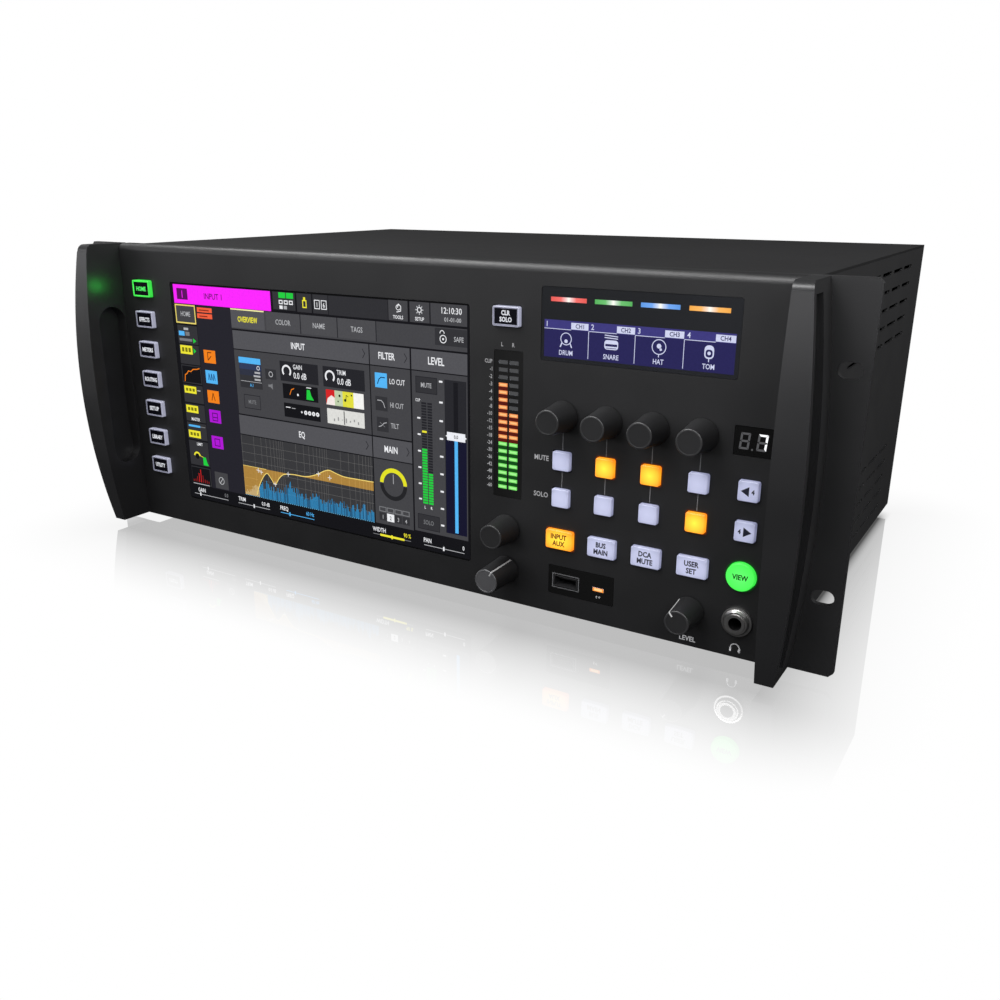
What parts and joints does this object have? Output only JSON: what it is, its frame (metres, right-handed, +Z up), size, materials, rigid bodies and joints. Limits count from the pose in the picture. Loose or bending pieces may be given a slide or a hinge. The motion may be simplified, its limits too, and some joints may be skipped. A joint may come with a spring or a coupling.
{
  "type": "rack-mount digital audio mixer",
  "caption": "Black rack-mount digital audio mixing unit with a touch screen, lit push keys, rotary encoders, level meter, bowed handle cheeks, headphone socket and rear audio sockets.",
  "frame": {"origin": "on the floor under the middle of the whole unit's bounding box", "axes": "+X to the viewer's right facing the control panel, +Y from the control panel to the rear, +Z up"},
  "size_m": [0.4826, 0.3165, 0.1815],
  "materials": {
    "panel_paint": "satin",
    "case_paint": "fine textured matt",
    "cheek_plastic": "satin",
    "ear_paint": "satin",
    "dark_glass": "polished",
    "lcd_frame": "matt",
    "light_guide": "translucent",
    "black_plastic": "matt",
    "led_window": "translucent",
    "black_gloss": "glossy",
    "steel": "plain",
    "nickel": "plated",
    "board": "solder mask",
    "rubber": "matt",
    "knob_rubber": "soft matt",
    "menu_key_lit": "lit translucent rim",
    "menu_key": "translucent rim",
    "key_green": "lit translucent",
    "key_clear": "translucent",
    "key_amber": "lit translucent"
  },
  "bodies": {
    "unit": {"front_panel": "panel_paint", "top_cover": "case_paint", "chassis_tray": "case_paint", "rear_panel": "case_paint", "cheek_left": "cheek_plastic", "cheek_right": "cheek_plastic", "rack_ears": "ear_paint", "touch_glass": "dark_glass", "lcd_modules": "lcd_frame", "display_window": "dark_glass", "light_bars": "light_guide", "meter_mask": "black_plastic", "meter_leds": "led_window", "digit_display": "black_gloss", "usb_plate": "black_gloss", "usb_socket": "steel", "phones_jack": "nickel", "phones_nut": "nickel", "rotary_bodies": "steel", "circuit_boards": "board", "power_supply": "steel", "xlr_inputs": "black_plastic", "xlr_outputs": "nickel", "power_inlet": "black_plastic", "network_sockets": "steel", "fan_frame": "black_plastic", "feet": "rubber", "screws": "steel"},
    "fan_rotor": {"fan_rotor": "black_plastic"},
    "power_rocker": {"power_rocker": "black_gloss"},
    "encoder_1": {"encoder_1": "knob_rubber"},
    "encoder_2": {"encoder_2": "knob_rubber"},
    "encoder_3": {"encoder_3": "knob_rubber"},
    "encoder_4": {"encoder_4": "knob_rubber"},
    "monitor_encoder": {"monitor_encoder": "knob_rubber"},
    "monitor_level_knob": {"monitor_level_knob": "knob_rubber"},
    "phones_level_knob": {"phones_level_knob": "knob_rubber"},
    "menu_button_1": {"menu_button_1": "menu_key_lit"},
    "menu_button_2": {"menu_button_2": "menu_key"},
    "menu_button_3": {"menu_button_3": "menu_key"},
    "menu_button_4": {"menu_button_4": "menu_key"},
    "menu_button_5": {"menu_button_5": "menu_key"},
    "menu_button_6": {"menu_button_6": "menu_key"},
    "menu_button_7": {"menu_button_7": "menu_key"},
    "clear_solo_button": {"clear_solo_button": "menu_key"},
    "view_button": {"view_button": "key_green"},
    "prev_button": {"prev_button": "key_clear"},
    "next_button": {"next_button": "key_clear"},
    "bank_button_1": {"bank_button_1": "key_amber"},
    "bank_button_2": {"bank_button_2": "key_clear"},
    "bank_button_3": {"bank_button_3": "key_clear"},
    "bank_button_4": {"bank_button_4": "key_clear"},
    "mute_button_1": {"mute_button_1": "key_clear"},
    "mute_button_2": {"mute_button_2": "key_amber"},
    "mute_button_3": {"mute_button_3": "key_amber"},
    "mute_button_4": {"mute_button_4": "key_clear"},
    "solo_button_1": {"solo_button_1": "key_clear"},
    "solo_button_2": {"solo_button_2": "key_clear"},
    "solo_button_3": {"solo_button_3": "key_clear"},
    "solo_button_4": {"solo_button_4": "key_amber"}
  },
  "joints": [
    {"name": "fan_spin", "type": "hinge", "parent": "unit", "child": "fan_rotor", "pos_m": [0.14, 0.14075, 0.127], "axis": [0, 1, 0], "continuous": true},
    {"name": "power_rocker_tilt", "type": "hinge", "parent": "unit", "child": "power_rocker", "pos_m": [0.1845, 0.14925, 0.041], "axis": [1, 0, 0], "range_deg": [-13, 0]},
    {"name": "encoder_1_turn", "type": "hinge", "parent": "unit", "child": "encoder_1", "pos_m": [0.1027, -0.12925, 0.1095], "axis": [0, -1, 0], "continuous": true},
    {"name": "encoder_2_turn", "type": "hinge", "parent": "unit", "child": "encoder_2", "pos_m": [0.12615, -0.12925, 0.1095], "axis": [0, -1, 0], "continuous": true},
    {"name": "encoder_3_turn", "type": "hinge", "parent": "unit", "child": "encoder_3", "pos_m": [0.1496, -0.12925, 0.1095], "axis": [0, -1, 0], "continuous": true},
    {"name": "encoder_4_turn", "type": "hinge", "parent": "unit", "child": "encoder_4", "pos_m": [0.17305, -0.12925, 0.1095], "axis": [0, -1, 0], "continuous": true},
    {"name": "monitor_encoder_turn", "type": "hinge", "parent": "unit", "child": "monitor_encoder", "pos_m": [0.0712, -0.12925, 0.0458], "axis": [0, -1, 0], "continuous": true},
    {"name": "monitor_level_knob_turn", "type": "hinge", "parent": "unit", "child": "monitor_level_knob", "pos_m": [0.0712, -0.12925, 0.023], "axis": [0, -1, 0], "range_deg": [-130, 170]},
    {"name": "phones_level_knob_turn", "type": "hinge", "parent": "unit", "child": "phones_level_knob", "pos_m": [0.17305, -0.12925, 0.023], "axis": [0, -1, 0], "range_deg": [-120, 180]},
    {"name": "menu_button_1_press", "type": "slide", "parent": "unit", "child": "menu_button_1", "axis": [0, 1, 0], "range_m": [0, 0.0008], "stiffness_N_per_m": 900, "springref_m": -0.0004},
    {"name": "menu_button_2_press", "type": "slide", "parent": "unit", "child": "menu_button_2", "axis": [0, 1, 0], "range_m": [0, 0.0008], "stiffness_N_per_m": 900, "springref_m": -0.0004},
    {"name": "menu_button_3_press", "type": "slide", "parent": "unit", "child": "menu_button_3", "axis": [0, 1, 0], "range_m": [0, 0.0008], "stiffness_N_per_m": 900, "springref_m": -0.0004},
    {"name": "menu_button_4_press", "type": "slide", "parent": "unit", "child": "menu_button_4", "axis": [0, 1, 0], "range_m": [0, 0.0008], "stiffness_N_per_m": 900, "springref_m": -0.0004},
    {"name": "menu_button_5_press", "type": "slide", "parent": "unit", "child": "menu_button_5", "axis": [0, 1, 0], "range_m": [0, 0.0008], "stiffness_N_per_m": 900, "springref_m": -0.0004},
    {"name": "menu_button_6_press", "type": "slide", "parent": "unit", "child": "menu_button_6", "axis": [0, 1, 0], "range_m": [0, 0.0008], "stiffness_N_per_m": 900, "springref_m": -0.0004},
    {"name": "menu_button_7_press", "type": "slide", "parent": "unit", "child": "menu_button_7", "axis": [0, 1, 0], "range_m": [0, 0.0008], "stiffness_N_per_m": 900, "springref_m": -0.0004},
    {"name": "clear_solo_button_press", "type": "slide", "parent": "unit", "child": "clear_solo_button", "axis": [0, 1, 0], "range_m": [0, 0.0008], "stiffness_N_per_m": 900, "springref_m": -0.0004},
    {"name": "view_button_press", "type": "slide", "parent": "unit", "child": "view_button", "axis": [0, 1, 0], "range_m": [0, 0.0008], "stiffness_N_per_m": 900, "springref_m": -0.0004},
    {"name": "prev_button_press", "type": "slide", "parent": "unit", "child": "prev_button", "axis": [0, 1, 0], "range_m": [0, 0.0008], "stiffness_N_per_m": 900, "springref_m": -0.0004},
    {"name": "next_button_press", "type": "slide", "parent": "unit", "child": "next_button", "axis": [0, 1, 0], "range_m": [0, 0.0008], "stiffness_N_per_m": 900, "springref_m": -0.0004},
    {"name": "bank_button_1_press", "type": "slide", "parent": "unit", "child": "bank_button_1", "axis": [0, 1, 0], "range_m": [0, 0.0008], "stiffness_N_per_m": 900, "springref_m": -0.0004},
    {"name": "bank_button_2_press", "type": "slide", "parent": "unit", "child": "bank_button_2", "axis": [0, 1, 0], "range_m": [0, 0.0008], "stiffness_N_per_m": 900, "springref_m": -0.0004},
    {"name": "bank_button_3_press", "type": "slide", "parent": "unit", "child": "bank_button_3", "axis": [0, 1, 0], "range_m": [0, 0.0008], "stiffness_N_per_m": 900, "springref_m": -0.0004},
    {"name": "bank_button_4_press", "type": "slide", "parent": "unit", "child": "bank_button_4", "axis": [0, 1, 0], "range_m": [0, 0.0008], "stiffness_N_per_m": 900, "springref_m": -0.0004},
    {"name": "mute_button_1_press", "type": "slide", "parent": "unit", "child": "mute_button_1", "axis": [0, 1, 0], "range_m": [0, 0.0008], "stiffness_N_per_m": 900, "springref_m": -0.0004},
    {"name": "mute_button_2_press", "type": "slide", "parent": "unit", "child": "mute_button_2", "axis": [0, 1, 0], "range_m": [0, 0.0008], "stiffness_N_per_m": 900, "springref_m": -0.0004},
    {"name": "mute_button_3_press", "type": "slide", "parent": "unit", "child": "mute_button_3", "axis": [0, 1, 0], "range_m": [0, 0.0008], "stiffness_N_per_m": 900, "springref_m": -0.0004},
    {"name": "mute_button_4_press", "type": "slide", "parent": "unit", "child": "mute_button_4", "axis": [0, 1, 0], "range_m": [0, 0.0008], "stiffness_N_per_m": 900, "springref_m": -0.0004},
    {"name": "solo_button_1_press", "type": "slide", "parent": "unit", "child": "solo_button_1", "axis": [0, 1, 0], "range_m": [0, 0.0008], "stiffness_N_per_m": 900, "springref_m": -0.0004},
    {"name": "solo_button_2_press", "type": "slide", "parent": "unit", "child": "solo_button_2", "axis": [0, 1, 0], "range_m": [0, 0.0008], "stiffness_N_per_m": 900, "springref_m": -0.0004},
    {"name": "solo_button_3_press", "type": "slide", "parent": "unit", "child": "solo_button_3", "axis": [0, 1, 0], "range_m": [0, 0.0008], "stiffness_N_per_m": 900, "springref_m": -0.0004},
    {"name": "solo_button_4_press", "type": "slide", "parent": "unit", "child": "solo_button_4", "axis": [0, 1, 0], "range_m": [0, 0.0008], "stiffness_N_per_m": 900, "springref_m": -0.0004}
  ]
}
